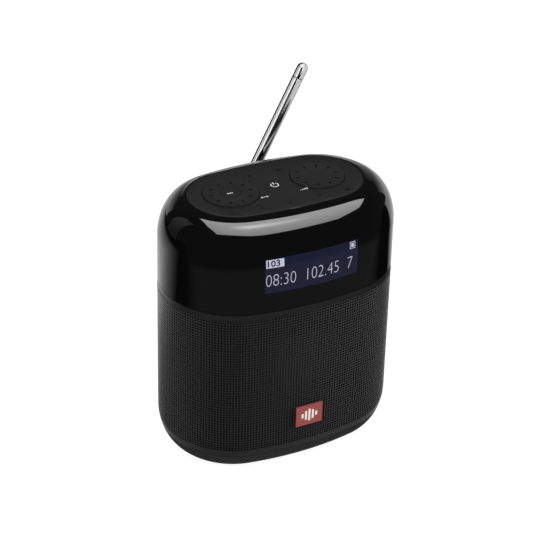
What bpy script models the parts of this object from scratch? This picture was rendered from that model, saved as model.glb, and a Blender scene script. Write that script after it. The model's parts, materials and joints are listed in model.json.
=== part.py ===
"""Tabletop radio: a pill-shaped cabinet with a gloss cap, a wrap-around grille and a telescopic antenna.

Units are metres, +Z is up and the front faces -Y. The origin is the middle of the foot pad's underside.
Every function below makes one sub-part or one small group of sub-parts.
"""
import math

import bmesh
import bpy
from mathutils import Matrix, Vector

MM = 0.001
GAP = 0.3 * MM

# Body outline, seen from above: two end arcs joined by two slightly bowed sides.
WIDTH = 158.0 * MM
DEPTH = 103.3 * MM
END_RADIUS = 48.9 * MM
END_STEPS = 14
SIDE_STEPS = 4

# Body side view: straight walls that flare towards the base, rounded over at the top and the bottom.
HEIGHT = 182.2 * MM
FLARE = 2.0 * MM
TOP_ROUND = (16.4 * MM, 27.7 * MM)
BASE_ROUND = (14.5 * MM, 25.0 * MM)

# Heights of the joints between the outer shells.
PAD_TOP = 1.2 * MM
BASE_UNDERSIDE = PAD_TOP + GAP
SEAM = 13.7 * MM
GRILLE_TOP = 119.6 * MM
CAP_BOTTOM = 124.5 * MM
CAP_WALL = 2.4 * MM
GRILLE_WALL = 1.2 * MM
CABINET_CLEARANCE = 3.0 * MM
CABINET_WALL = 2.4 * MM
CABINET_BOTTOM = 5.0 * MM
CABINET_TOP = 116.5 * MM

# Electronics between the speaker box and the deck.
BATTERY_RADIUS = 9.3 * MM
BATTERY_HALF = 34.0 * MM
TRAY = ((-42.0 * MM, -20.0 * MM, 119.2 * MM), (42.0 * MM, 26.0 * MM, 121.4 * MM))
MAIN_BOARD_Z = (143.0 * MM, 144.6 * MM)
TUNER = ((-17.0 * MM, -6.0 * MM, 144.9 * MM), (17.0 * MM, 18.0 * MM, 148.1 * MM))
MODULE_FRONT = -44.6 * MM
MODULE_SIZE = (36.0 * MM, 4.0 * MM, (135.5 * MM, 164.0 * MM))
BRACKET_SIZE = (38.0 * MM, 1.6 * MM, (124.0 * MM, 165.0 * MM))

# Control deck on the top.
DECK = dict(length=117.6 * MM, depth=62.6 * MM, end_radius=30.0 * MM, y=2.9 * MM)
DECK_TOP = HEIGHT - 1.2 * MM
DECK_UNDERSIDE = HEIGHT - 3.7 * MM
FRAME_UNDERSIDE = HEIGHT - 5.7 * MM
BOARD_TOP = HEIGHT - 14.6 * MM
DIAL_X = 30.6 * MM
DIAL_Y = 5.0 * MM
DIAL_RADIUS = 17.7 * MM
DIAL_PROUD = 0.8 * MM
SCAN_RADIUS = 6.2 * MM
KEY_RADIUS = 3.2 * MM
POWER_RADIUS = 4.5 * MM
FRONT_KEYS_Y = -18.4 * MM
KEY_PITCH = 20.0 * MM
REAR_KEYS = ((-11.2 * MM, 22.3 * MM), (11.2 * MM, 22.3 * MM))
POWER_AT = (0.0, 4.8 * MM)

# Display and badge on the front.
DISPLAY_HALF = 32.2 * MM
DISPLAY_Z = (138.5 * MM, 162.4 * MM)
BADGE_HALF = 9.5 * MM
BADGE_Z = (32.0 * MM, 47.7 * MM)

# Loudspeaker (front) and passive radiator (rear).
DRIVER_Z = 78.0 * MM
DRIVER_HOLE = 29.0 * MM
RADIATOR_Z = 82.0 * MM
SPEAKER_FLANGE_Y = 43.4 * MM

# Connector panel low on the rear.
PORT_HALF = 23.0 * MM
PORT_Z = (27.0 * MM, 50.0 * MM)
PORT_DEPTH = 9.0 * MM
PORT_RIM = 3.0 * MM
FLAP_THICKNESS = 1.6 * MM
FLAP_Z = (PORT_Z[0] + PORT_RIM, PORT_Z[1] - PORT_RIM)
FLAP_HALF = PORT_HALF - PORT_RIM
PORT_MIDDLE = 0.5 * (PORT_Z[0] + PORT_Z[1])

# Antenna: it turns on the back of the cap, tilts on a pin and pulls out in five sections.
PIVOT = Vector((0.0, 57.5 * MM, 144.4 * MM))
LEAN = math.radians(26.9)
ANTENNA_LENGTH = 102.6 * MM
TUBE_START = 7.0 * MM
TUBE_RADIUS = 3.75 * MM
TUBE_STEP = 0.7 * MM
TUBE_WALL = 0.4 * MM
TIP_LENGTH = 10.4 * MM
PIN_RADIUS = 1.2 * MM
SWIVEL_RADIUS = 6.2 * MM
SWIVEL_STUD = 3.0 * MM
STUD_HOLE = SWIVEL_STUD + GAP


# ---------------------------------------------------------------- helpers

def clear_scene():
    for thing in list(bpy.data.objects):
        bpy.data.objects.remove(thing, do_unlink=True)


def material(name, colour, roughness, metallic=0.0):
    made = bpy.data.materials.new(name)
    made.use_nodes = True
    shader = made.node_tree.nodes["Principled BSDF"]
    shader.inputs["Base Color"].default_value = (*colour, 1.0)
    shader.inputs["Roughness"].default_value = roughness
    shader.inputs["Metallic"].default_value = metallic
    return made


def finish(name, bm, surface, at=(0, 0, 0), turn=(0, 0, 0), parent=None):
    """Turn a closed bmesh into a named object with outward faces and smooth round sides."""
    bmesh.ops.recalc_face_normals(bm, faces=bm.faces)
    mesh = bpy.data.meshes.new(name)
    bm.to_mesh(mesh)
    bm.free()
    mesh.shade_smooth()
    mesh.set_sharp_from_angle(angle=math.radians(35))
    mesh.materials.append(surface)
    made = bpy.data.objects.new(name, mesh)
    bpy.context.collection.objects.link(made)
    made.location = at
    made.rotation_euler = turn
    made.parent = parent
    return made


def arc(centre, radius, start, end, steps):
    """Points on an arc, without its end point."""
    angles = [start + (end - start) * i / steps for i in range(steps)]
    return [(centre[0] + radius * math.cos(a), centre[1] + radius * math.sin(a)) for a in angles]


def pill(length, depth, end_radius, offset=0.0, y=0.0, end_steps=END_STEPS, side_steps=SIDE_STEPS):
    """Pill outline whose side arcs are tangent to its end arcs; offset grows or shrinks it."""
    reach = length / 2 - end_radius
    bow = depth / 2 - end_radius
    drop = (reach ** 2 - bow ** 2) / (2 * bow)
    half_angle = math.atan2(reach, drop)
    side_radius = drop + depth / 2 + offset
    radius = end_radius + offset
    quarter = math.pi / 2
    points = arc((reach, y), radius, half_angle - quarter, quarter - half_angle, end_steps)
    points += arc((0, y - drop), side_radius, quarter - half_angle, quarter + half_angle, side_steps)
    points += arc((-reach, y), radius, quarter + half_angle, 3 * quarter - half_angle, end_steps)
    points += arc((0, y + drop), side_radius, 3 * quarter - half_angle, 3 * quarter + half_angle, side_steps)
    return points


def body_outline(offset):
    return pill(WIDTH, DEPTH, END_RADIUS, offset)


def deck_outline(offset):
    return pill(DECK["length"], DECK["depth"], DECK["end_radius"], offset, DECK["y"])


def wall_offset(z, wall=0.0):
    """How far the body's wall stands outside the nominal outline at height z, for a skin at depth wall."""
    offset = FLARE * (1 - z / HEIGHT) - wall
    for (inset, rise), past in ((TOP_ROUND, z - HEIGHT + TOP_ROUND[1]), (BASE_ROUND, BASE_ROUND[1] - z)):
        if past > 0:
            share = min(past / (rise - wall), 1.0)
            offset -= (inset - wall) * (1 - math.sqrt(1 - share * share))
    return offset


def body_ring(z, wall=0.0):
    return ring_at(body_outline(wall_offset(z, wall)), z)


def ring_at(outline, z):
    return [Vector((x, y, z)) for x, y in outline]


def top_heights(wall, steps):
    """Heights over the top rounding, evenly spaced in angle, from its lower end to its crest."""
    rise = TOP_ROUND[1] - wall
    start = HEIGHT - TOP_ROUND[1]
    return [start + rise * math.sin(math.pi / 2 * i / steps) for i in range(steps + 1)]


def loft(rings, loop=False):
    """Skin equal rings in order; a loop joins the last ring to the first, otherwise both ends are capped."""
    bm = bmesh.new()
    rows = [[bm.verts.new(point) for point in ring] for ring in rings]
    count = len(rows[0])
    pairs = list(zip(rows, rows[1:]))
    if loop:
        pairs.append((rows[-1], rows[0]))
    else:
        bm.faces.new(rows[0])
        bm.faces.new(rows[-1])
    for low, high in pairs:
        for i in range(count):
            j = (i + 1) % count
            bm.faces.new((low[i], low[j], high[j], high[i]))
    return bm


def turned(profile, steps=24):
    """Turn (radius, height) points about Z. A profile that starts on the axis ends on it too."""
    bm = bmesh.new()
    rows = []
    for radius, z in profile:
        angles = [2 * math.pi * i / steps for i in range(steps)] if radius else [0.0]
        rows.append([bm.verts.new((radius * math.cos(a), radius * math.sin(a), z)) for a in angles])
    pairs = list(zip(rows, rows[1:]))
    if profile[0][0]:
        pairs.append((rows[-1], rows[0]))
    for low, high in pairs:
        for i in range(steps):
            under = [low[i % len(low)], low[(i + 1) % len(low)]]
            over = [high[(i + 1) % len(high)], high[i % len(high)]]
            corners = under + over
            bm.faces.new(list(dict.fromkeys(corners)))
    return bm


def block(low, high, bevel=0.0):
    bm = bmesh.new()
    size = Vector(high) - Vector(low)
    middle = (Vector(high) + Vector(low)) / 2
    bmesh.ops.create_cube(bm, size=1.0, matrix=Matrix.Translation(middle) @ Matrix.Diagonal((*size, 1.0)))
    if bevel:
        bmesh.ops.bevel(bm, geom=list(bm.edges), offset=bevel, segments=1, affect="EDGES")
    return bm


def plate(outline, low, high):
    return loft([ring_at(outline, low), ring_at(outline, high)])


def along_y(bm):
    """Turn a body made along Z so that its +Z points along +Y."""
    bm.transform(Matrix.Rotation(-math.pi / 2, 4, "X"))
    return bm


def cutter(bm, at=(0, 0, 0), turn=(0, 0, 0), parent=None):
    made = finish("cutter", bm, None, at, turn, parent)
    made.hide_render = True
    made.display_type = "WIRE"
    return made


def carve(target, tool, operation="DIFFERENCE"):
    change = target.modifiers.new("carve", "BOOLEAN")
    change.operation = operation
    change.object = tool
    return target


def rod(radius, low, high, steps=24):
    return turned([(0, low), (radius, low), (radius, high), (0, high)], steps)


def skin_patch(name, surface, depth, half_width, heights, rear=False):
    """A patch of the body's skin, depth thick, cut out by a rectangle seen from the front or rear."""
    levels = [z for z in top_heights(0.0, 8) if heights[0] < z < heights[1]]
    levels = [heights[0] - MM, *levels, heights[1] + MM]
    outer = [body_ring(z) for z in levels]
    inner = [body_ring(z, depth) for z in reversed(levels)]
    side = 1 if rear else -1
    near, far = sorted((side * DEPTH / 4, side * DEPTH))
    window = cutter(block((-half_width, near, heights[0]), (half_width, far, heights[1])))
    return carve(finish(name, loft(outer + inner, loop=True), surface), window, "INTERSECT")


# ---------------------------------------------------------------- outer shells

def make_foot_pad(surfaces):
    outline = body_outline(wall_offset(0.0))
    finish("foot_pad", plate(outline, 0.0, PAD_TOP), surfaces["rubber"])


def screw_places():
    return [(x, y) for x in (-48 * MM, 48 * MM) for y in (-20 * MM, 20 * MM)]


def make_base(surfaces):
    wall = 2.2 * MM
    rim = SEAM - GAP
    heights = [BASE_UNDERSIDE, 3.2 * MM, 5.5 * MM, 9.0 * MM, rim]
    outer = [body_ring(z) for z in heights]
    inner = [body_ring(z, wall) for z in (rim, 9.0 * MM, 5.5 * MM)]
    floor = ring_at(body_outline(wall_offset(BASE_UNDERSIDE) - wall), BASE_UNDERSIDE + wall)
    base = finish("base_cover", loft(outer + inner + [floor]), surfaces["base"])
    for number, (x, y) in enumerate(screw_places(), 1):
        carve(base, cutter(rod(1.8 * MM, 0.0, 8 * MM, 8), (x, y, 0)))
        carve(base, cutter(rod(3.2 * MM, 0.0, 2.9 * MM, 8), (x, y, 0)))
        head = [(0, 1.6 * MM), (2.8 * MM, 1.6 * MM), (2.8 * MM, 2.6 * MM)]
        shank = [(1.4 * MM, 2.6 * MM), (1.4 * MM, 7.0 * MM), (0, 7.0 * MM)]
        finish(f"base_screw_{number}", turned(head + shank, 8), surfaces["steel"], (x, y, 0))


def make_cabinet(surfaces):
    """The sealed speaker box: a deep bowl with a lid, open where the two speakers and the ports sit."""
    skin = CABINET_CLEARANCE
    inside = CABINET_CLEARANCE + CABINET_WALL
    floor = CABINET_BOTTOM + CABINET_WALL
    bottom = ring_at(body_outline(-10.5 * MM), CABINET_BOTTOM)
    outer = [body_ring(z, skin) for z in (10 * MM, 17 * MM, 25 * MM, CABINET_TOP)]
    inner = [body_ring(z, inside) for z in (CABINET_TOP, 25 * MM, 17 * MM, 11 * MM)]
    bowl = loft([bottom, *outer, *inner, ring_at(body_outline(-13.5 * MM), floor)])
    cabinet = finish("acoustic_cabinet", bowl, surfaces["plastic"])
    for side, z in ((-1, DRIVER_Z), (1, RADIATOR_Z)):
        start, end = sorted((side * 35 * MM, side * 60 * MM))
        carve(cabinet, cutter(along_y(rod(DRIVER_HOLE, start, end, 24)), (0, 0, z)))
    port = block((-PORT_HALF - GAP, 30 * MM, PORT_Z[0] - GAP), (PORT_HALF + GAP, 60 * MM, PORT_Z[1] + GAP))
    carve(cabinet, cutter(port))
    for x, y in screw_places():
        carve(cabinet, cutter(rod(1.8 * MM, 0.0, 9 * MM, 8), (x, y, 0)))
    lid = body_outline(wall_offset(CABINET_TOP, skin))
    finish("cabinet_lid", plate(lid, CABINET_TOP + GAP, CABINET_TOP + 2.4 * MM), surfaces["plastic"])


def make_grille(surfaces):
    heights = [SEAM + GAP, 19 * MM, 25 * MM, GRILLE_TOP]
    outer = [body_ring(z) for z in heights]
    inner = [body_ring(z, GRILLE_WALL) for z in reversed(heights)]
    grille = finish("grille", loft(outer + inner, loop=True), surfaces["grille"])
    port = block((-PORT_HALF - GAP, 30 * MM, PORT_Z[0] - GAP), (PORT_HALF + GAP, 60 * MM, PORT_Z[1] + GAP))
    carve(grille, cutter(port))
    middle = 0.5 * (BADGE_Z[0] + BADGE_Z[1])
    stem = 5.0 * MM + GAP
    carve(grille, cutter(block((-stem, -60 * MM, middle - stem), (stem, -30 * MM, middle + stem))))


def make_waist_band(surfaces):
    heights = (GRILLE_TOP + GAP, CAP_BOTTOM - GAP)
    outer = [body_ring(z, 0.25 * MM) for z in heights]
    inner = [body_ring(z, 2.4 * MM) for z in reversed(heights)]
    finish("waist_band", loft(outer + inner, loop=True), surfaces["plastic"])


def make_top_cap(surfaces):
    outer = [body_ring(CAP_BOTTOM)] + [body_ring(z) for z in top_heights(0.0, 5)]
    edge = deck_outline(GAP)
    lip = [ring_at(edge, HEIGHT), ring_at(edge, HEIGHT - CAP_WALL)]
    inner = [body_ring(z, CAP_WALL) for z in reversed(top_heights(CAP_WALL, 4))]
    bottom = body_ring(CAP_BOTTOM, CAP_WALL)
    cap = finish("top_cap", loft(outer + lip + inner + [bottom], loop=True), surfaces["gloss"])
    half = DISPLAY_HALF + GAP
    low, high = DISPLAY_Z[0] - GAP, DISPLAY_Z[1] + GAP
    carve(cap, cutter(block((-half, -60 * MM, low), (half, -20 * MM, high))))
    carve(cap, cutter(along_y(rod(STUD_HOLE, 40 * MM, 60 * MM, 16)), (0, 0, PIVOT.z)))


def make_badge(surfaces):
    """A small flat badge with a stem that passes through the grille."""
    middle = 0.5 * (BADGE_Z[0] + BADGE_Z[1])
    back = -(DEPTH / 2 + wall_offset(BADGE_Z[0])) - GAP
    face = block((-BADGE_HALF, back - 1.2 * MM, BADGE_Z[0]), (BADGE_HALF, back, BADGE_Z[1]), 0.2 * MM)
    badge = finish("badge", face, surfaces["badge"])
    stem = 5.0 * MM
    shank = block((-stem, back - 0.6 * MM, middle - stem), (stem, back + 2.6 * MM, middle + stem))
    carve(badge, cutter(shank), "UNION")


# ---------------------------------------------------------------- display

def make_display(surfaces):
    skin_patch("display_window", surfaces["window"], 2.0 * MM, DISPLAY_HALF, DISPLAY_Z)
    front = MODULE_FRONT
    for name, surface, (half, depth, (low, high)) in (("display_module", "display", MODULE_SIZE),
                                                      ("display_bracket", "steel", BRACKET_SIZE)):
        body = block((-half, front, low), (half, front + depth, high), 0.4 * MM)
        finish(name, body, surfaces[surface])
        front += depth + GAP


# ---------------------------------------------------------------- control deck

def control_places():
    """Name, radius and centre of every push button that comes up through the deck."""
    places = [("power_button", POWER_RADIUS, POWER_AT)]
    for number in range(5):
        places.append((f"front_key_{number + 1}", KEY_RADIUS, ((number - 2) * KEY_PITCH, FRONT_KEYS_Y)))
    for number, at in enumerate(REAR_KEYS, 1):
        places.append((f"rear_key_{number}", KEY_RADIUS, at))
    return places


def pierce_deck(target, clearance):
    low, high = FRAME_UNDERSIDE - MM, HEIGHT + MM
    for x in (-DIAL_X, DIAL_X):
        carve(target, cutter(rod(DIAL_RADIUS + clearance, low, high, 32), (x, DIAL_Y, 0)))
    for _, radius, (x, y) in control_places():
        carve(target, cutter(rod(radius + clearance, low, high, 10), (x, y, 0)))


def make_deck(surfaces):
    rings = [
        ring_at(deck_outline(-3.0 * MM), DECK_TOP),
        ring_at(deck_outline(-0.8 * MM), HEIGHT - GAP),
        ring_at(deck_outline(0.0), HEIGHT - GAP),
        ring_at(deck_outline(0.0), DECK_UNDERSIDE),
    ]
    pierce_deck(finish("control_deck", loft(rings), surfaces["deck"]), GAP)
    frame = plate(deck_outline(1.5 * MM), FRAME_UNDERSIDE, DECK_UNDERSIDE - GAP)
    pierce_deck(finish("deck_frame", frame, surfaces["plastic"]), 0.5 * MM)
    board = plate(deck_outline(-3.0 * MM), BOARD_TOP - 1.6 * MM, BOARD_TOP)
    finish("control_board", board, surfaces["circuit"])


def make_buttons(surfaces):
    top = DECK_TOP + 0.1 * MM
    foot = BOARD_TOP + 1.0 * MM
    step = FRAME_UNDERSIDE - 1.0 * MM
    stem = 1.5 * MM
    for name, radius, (x, y) in control_places():
        profile = [(0, top), (radius, top), (radius, step), (stem, step), (stem, foot), (0, foot)]
        profile = [(r, z - top) for r, z in profile]
        finish(name, turned(profile, 10), surfaces["deck"], (x, y, top))


def make_dials(surfaces):
    top = DECK_TOP + DIAL_PROUD
    under = FRAME_UNDERSIDE
    edge = 0.5 * MM
    rim = [(DIAL_RADIUS - edge, top), (DIAL_RADIUS, top - edge), (DIAL_RADIUS, under)]
    hole = SCAN_RADIUS + GAP
    board = BOARD_TOP + GAP
    tune, volume = (-DIAL_X, DIAL_Y, 0), (DIAL_X, DIAL_Y, 0)

    finish("tune_dial", turned([(hole, top), *rim, (hole, under)], 32), surfaces["deck"], tune)
    inner, outer = hole, 9.0 * MM
    rotor = [(inner, under - GAP), (outer, under - GAP), (outer, board + GAP), (inner, board + GAP)]
    finish("tune_rotor", turned(rotor), surfaces["plastic"], tune)
    inner, outer, lid = 9.3 * MM, 13.0 * MM, board + 5.0 * MM
    finish("tune_encoder", turned([(inner, lid), (outer, lid), (outer, board), (inner, board)]),
           surfaces["steel"], tune)

    foot, step, stem = BOARD_TOP + 1.0 * MM, top - 3.2 * MM, 2.0 * MM
    button = [(0, top), (SCAN_RADIUS, top), (SCAN_RADIUS, step), (stem, step), (stem, foot), (0, foot)]
    button = [(r, z - top) for r, z in button]
    finish("scan_button", turned(button), surfaces["deck"], (-DIAL_X, DIAL_Y, top))

    boss, shaft, bore = 4.5 * MM, 2.9 * MM, 3.2 * MM
    socket = [(boss, under), (boss, under - 2.5 * MM), (bore, under - 2.5 * MM), (bore, top - 2.7 * MM),
              (0, top - 2.7 * MM)]
    finish("volume_dial", turned([(0, top), *rim, *socket], 32), surfaces["deck"], volume)
    seat = board + 1.6 * MM
    finish("volume_shaft", rod(shaft, seat + GAP, top - 3.0 * MM, 16), surfaces["steel"], volume)
    body = [(0, board), (7.0 * MM, board), (7.0 * MM, seat + 2.5 * MM), (5.0 * MM, seat + 2.5 * MM),
            (5.0 * MM, seat + 4.0 * MM), (bore, seat + 4.0 * MM), (bore, seat), (0, seat)]
    finish("volume_encoder", turned(body), surfaces["steel"], volume)


# ---------------------------------------------------------------- electronics

def make_electronics(surfaces):
    finish("battery_tray", block(*TRAY, 0.4 * MM), surfaces["plastic"])
    cells = pill(4.04 * BATTERY_RADIUS, 2.02 * BATTERY_RADIUS, BATTERY_RADIUS, end_steps=12, side_steps=2)
    pack = plate(cells, -BATTERY_HALF, BATTERY_HALF)
    pack.transform(Matrix.Rotation(math.pi / 2, 4, "Y") @ Matrix.Rotation(math.pi / 2, 4, "Z"))
    middle = TRAY[1][2] + GAP + 1.01 * BATTERY_RADIUS
    finish("battery_pack", pack, surfaces["battery"], (0, 3 * MM, middle))
    board = plate(body_outline(-15 * MM), *MAIN_BOARD_Z)
    finish("main_board", board, surfaces["circuit"])
    finish("tuner_module", block(*TUNER, 0.4 * MM), surfaces["steel"])


# ---------------------------------------------------------------- speakers

def speaker_place(side, z):
    """Location and rotation that turn a speaker made along +Z to face out of the front or the rear."""
    return (0, side * SPEAKER_FLANGE_Y, z), (-side * math.pi / 2, 0, 0)


def mm_points(*points):
    return [(r * MM, z * MM) for r, z in points]


def make_driver(surfaces):
    at, turn = speaker_place(-1, DRIVER_Z)
    basket = mm_points((33, 0), (33, -1.5), (29, -1.5), (18, -14), (18, -16), (9, -16), (9, -14.4),
                       (16.4, -14.4), (16.4, -13), (27.4, 0))
    finish("driver_basket", turned(basket), surfaces["steel"], at, turn)
    magnet = mm_points((0, -16.3), (20, -16.3), (20, -27), (0, -27))
    finish("driver_magnet", turned(magnet), surfaces["magnet"], at, turn)
    surround = mm_points((31.5, 0.3), (31.5, 0.9), (29.2, 1.1), (27, 3.0), (25, 3.0), (23, 1.1), (21.5, 0.9),
                         (21.5, 0.3), (23.6, 0.4), (25.4, 2.2), (26.6, 2.2), (28.6, 0.4))
    finish("driver_surround", turned(surround), surfaces["rubber"], at, turn)
    cone = mm_points((23.2, 0.0), (8.4, -11), (8.4, -12), (7.6, -12), (7.6, -10.4), (21.6, 0.0))
    finish("driver_cone", turned(cone), surfaces["paper"], at, turn)
    cap = mm_points((0, -6.4), (4, -7.1), (7.4, -9.2), (7.2, -10.1), (4, -7.9), (0, -7.2))
    finish("driver_dust_cap", turned(cap, 16), surfaces["paper"], at, turn)


def make_radiator(surfaces):
    at, turn = speaker_place(1, RADIATOR_Z)
    frame = mm_points((33, 0), (33, -2.5), (28, -2.5), (28, 0))
    finish("radiator_frame", turned(frame), surfaces["plastic"], at, turn)
    roll = mm_points((31.5, 0.3), (31.5, 0.9), (28.5, 1.1), (26.3, 3.2), (23.7, 3.2), (21.5, 1.1), (19, 0.9),
                     (19, 0.3), (22, 0.4), (24, 2.4), (26, 2.4), (28, 0.4))
    finish("radiator_surround", turned(roll), surfaces["rubber"], at, turn)
    finish("radiator_plate", rod(21.0 * MM, -1.5 * MM, 0.0), surfaces["aluminium"], at, turn)


# ---------------------------------------------------------------- rear connectors

def make_ports(surfaces):
    panel = skin_patch("port_panel", surfaces["plastic"], PORT_DEPTH, PORT_HALF, PORT_Z, rear=True)
    floor = DEPTH / 2 - 2.2 * MM
    half = FLAP_HALF + GAP
    low, high = FLAP_Z[0] - GAP, FLAP_Z[1] + GAP
    carve(panel, cutter(block((-half, floor, low), (half, 60 * MM, high))))
    usb, jack = -8.0 * MM, 9.0 * MM
    usb_half, usb_rise, jack_radius = 4.5 * MM, 1.7 * MM, 3.4 * MM
    hole = block((usb - usb_half - GAP, 38 * MM, PORT_MIDDLE - usb_rise - GAP),
                 (usb + usb_half + GAP, 60 * MM, PORT_MIDDLE + usb_rise + GAP))
    carve(panel, cutter(hole))
    carve(panel, cutter(along_y(rod(jack_radius + GAP, 38 * MM, 60 * MM, 16)), (jack, 0, PORT_MIDDLE)))

    skin_patch("port_flap", surfaces["rubber"], FLAP_THICKNESS, FLAP_HALF, FLAP_Z, rear=True)

    shell = block((usb - usb_half, 42 * MM, PORT_MIDDLE - usb_rise),
                  (usb + usb_half, floor - GAP, PORT_MIDDLE + usb_rise), 0.8 * MM)
    wall = 0.35 * MM
    mouth = block((usb - usb_half + wall, 43 * MM, PORT_MIDDLE - usb_rise + wall),
                  (usb + usb_half - wall, 60 * MM, PORT_MIDDLE + usb_rise - wall))
    carve(finish("usb_socket", shell, surfaces["steel"]), cutter(mouth))
    depth = floor - GAP - 42 * MM
    sleeve = mm_points((0, 0), (3.4, 0))
    sleeve += [(jack_radius, depth), (1.8 * MM, depth), (1.8 * MM, 1.0 * MM), (0, 1.0 * MM)]
    finish("aux_jack", along_y(turned(sleeve, 16)), surfaces["plastic"], (jack, 42 * MM, PORT_MIDDLE))


# ---------------------------------------------------------------- antenna

def make_pivot():
    """Empty on the antenna's pin: its Z runs along the rod, its X along the pin, its Y out of the back."""
    pivot = bpy.data.objects.new("antenna_pivot", None)
    bpy.context.collection.objects.link(pivot)
    pivot.location = PIVOT
    pivot.rotation_euler = (0, LEAN, 0)
    return pivot


def make_antenna_base(surfaces, pivot):
    inner_wall = DEPTH / 2 + wall_offset(PIVOT.z) - CAP_WALL
    plate_back = inner_wall - 1.0 * MM
    plate_front = plate_back - 2 * MM
    plate_radius = 10 * MM
    bracket = turned([(STUD_HOLE, plate_back), (STUD_HOLE, plate_front), (plate_radius, plate_front),
                      (plate_radius, plate_back)])
    finish("antenna_bracket", along_y(bracket), surfaces["steel"], (0, 0, PIVOT.z))

    disc_low = DEPTH / 2 + wall_offset(PIVOT.z) + GAP - PIVOT.y
    disc_high = disc_low + 1.4 * MM
    stud_end = plate_back - 3 * MM - PIVOT.y
    bevel = 0.4 * MM
    profile = [(0, stud_end), (SWIVEL_STUD, stud_end), (SWIVEL_STUD, disc_low), (SWIVEL_RADIUS, disc_low),
               (SWIVEL_RADIUS, disc_high - bevel), (SWIVEL_RADIUS - bevel, disc_high), (0, disc_high)]
    swivel = finish("antenna_swivel", along_y(turned(profile)), surfaces["chrome"], parent=pivot)
    ear_inner, ear_outer, ear_radius = 2.1 * MM, 3.9 * MM, 3.0 * MM
    for side in (-1, 1):
        low, high = sorted((side * ear_inner, side * ear_outer))
        ear = rod(ear_radius, low, high, 20)
        ear.transform(Matrix.Rotation(math.pi / 2, 4, "Y"))
        carve(swivel, cutter(ear, parent=pivot), "UNION")
        root = block((low, disc_high - 0.5 * MM, -ear_radius), (high, 0, ear_radius))
        carve(swivel, cutter(root, parent=pivot), "UNION")
    bore = rod(PIN_RADIUS + GAP, -5 * MM, 5 * MM, 12)
    bore.transform(Matrix.Rotation(math.pi / 2, 4, "Y"))
    carve(swivel, cutter(bore, parent=pivot))

    pin = rod(PIN_RADIUS, -4.2 * MM, 4.2 * MM, 12)
    pin.transform(Matrix.Rotation(math.pi / 2, 4, "Y"))
    finish("antenna_pin", pin, surfaces["steel"], parent=pivot)


def make_antenna_rod(surfaces, pivot):
    """Five nested sections; the outermost carries the tongue and the innermost carries the tip."""
    tube_end = ANTENNA_LENGTH - TIP_LENGTH - GAP
    tongue_half, barrel = 1.7 * MM, 2.4 * MM
    knuckle = rod(barrel, -tongue_half, tongue_half, 20)
    knuckle.transform(Matrix.Rotation(math.pi / 2, 4, "Y"))
    tongue = finish("antenna_tongue", knuckle, surfaces["chrome"], parent=pivot)
    neck = block((-tongue_half, -1.9 * MM, 0), (tongue_half, 1.9 * MM, TUBE_START + 2 * MM))
    carve(tongue, cutter(neck, parent=pivot), "UNION")
    bore = rod(PIN_RADIUS + GAP, -5 * MM, 5 * MM, 12)
    bore.transform(Matrix.Rotation(math.pi / 2, 4, "Y"))
    carve(tongue, cutter(bore, parent=pivot))

    bottom = TUBE_START
    for number in range(4):
        outer = TUBE_RADIUS - number * TUBE_STEP
        inner = outer - TUBE_WALL
        floor = bottom + 3 * MM if number == 0 else bottom + 1 * MM
        profile = [(0, bottom), (outer, bottom), (outer, tube_end)]
        profile += [(inner, tube_end), (inner, floor), (0, floor)]
        tube = finish(f"antenna_tube_{number + 1}", turned(profile, 20), surfaces["chrome"], parent=pivot)
        if number == 0:
            slot = block((-tongue_half - GAP, -1.9 * MM - GAP, 0),
                         (tongue_half + GAP, 1.9 * MM + GAP, TUBE_START + 2 * MM + GAP))
            carve(tube, cutter(slot, parent=pivot))
        bottom = floor + GAP
    core = TUBE_RADIUS - 4 * TUBE_STEP
    tip_base = tube_end + GAP
    finish("antenna_core", rod(core, bottom, tip_base + 6 * MM, 16), surfaces["chrome"], parent=pivot)

    dome = [(TUBE_RADIUS * math.cos(a), ANTENNA_LENGTH - TUBE_RADIUS * (1 - math.sin(a)))
            for a in (math.pi / 2 * i / 5 for i in range(5))]
    socket = core + GAP
    tip = [(0, ANTENNA_LENGTH), *reversed(dome), (TUBE_RADIUS, tip_base), (socket, tip_base),
           (socket, tip_base + 6 * MM + GAP), (0, tip_base + 6 * MM + GAP)]
    finish("antenna_tip", turned(tip, 20), surfaces["chrome"], parent=pivot)


# ---------------------------------------------------------------- assembly

def make_surfaces():
    return {
        "gloss": material("gloss_black", (0.006, 0.006, 0.007), 0.08),
        "grille": material("grille_black", (0.018, 0.018, 0.018), 0.5),
        "base": material("base_grey", (0.02, 0.02, 0.021), 0.5),
        "plastic": material("matte_black", (0.02, 0.02, 0.02), 0.55),
        "deck": material("deck_rubber", (0.027, 0.027, 0.028), 0.7),
        "rubber": material("black_rubber", (0.012, 0.012, 0.012), 0.8),
        "window": material("smoked_window", (0.012, 0.014, 0.032), 0.08),
        "display": material("display_blue", (0.02, 0.025, 0.08), 0.3),
        "badge": material("badge_red", (0.45, 0.09, 0.095), 0.4),
        "chrome": material("chrome", (0.8, 0.8, 0.8), 0.08, 1.0),
        "steel": material("steel", (0.5, 0.5, 0.5), 0.35, 1.0),
        "aluminium": material("aluminium", (0.6, 0.6, 0.62), 0.35, 1.0),
        "magnet": material("ferrite", (0.05, 0.05, 0.055), 0.6),
        "paper": material("cone_paper", (0.03, 0.03, 0.03), 0.85),
        "circuit": material("circuit_green", (0.01, 0.09, 0.04), 0.4),
        "battery": material("battery_wrap", (0.03, 0.12, 0.35), 0.35),
    }


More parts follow.
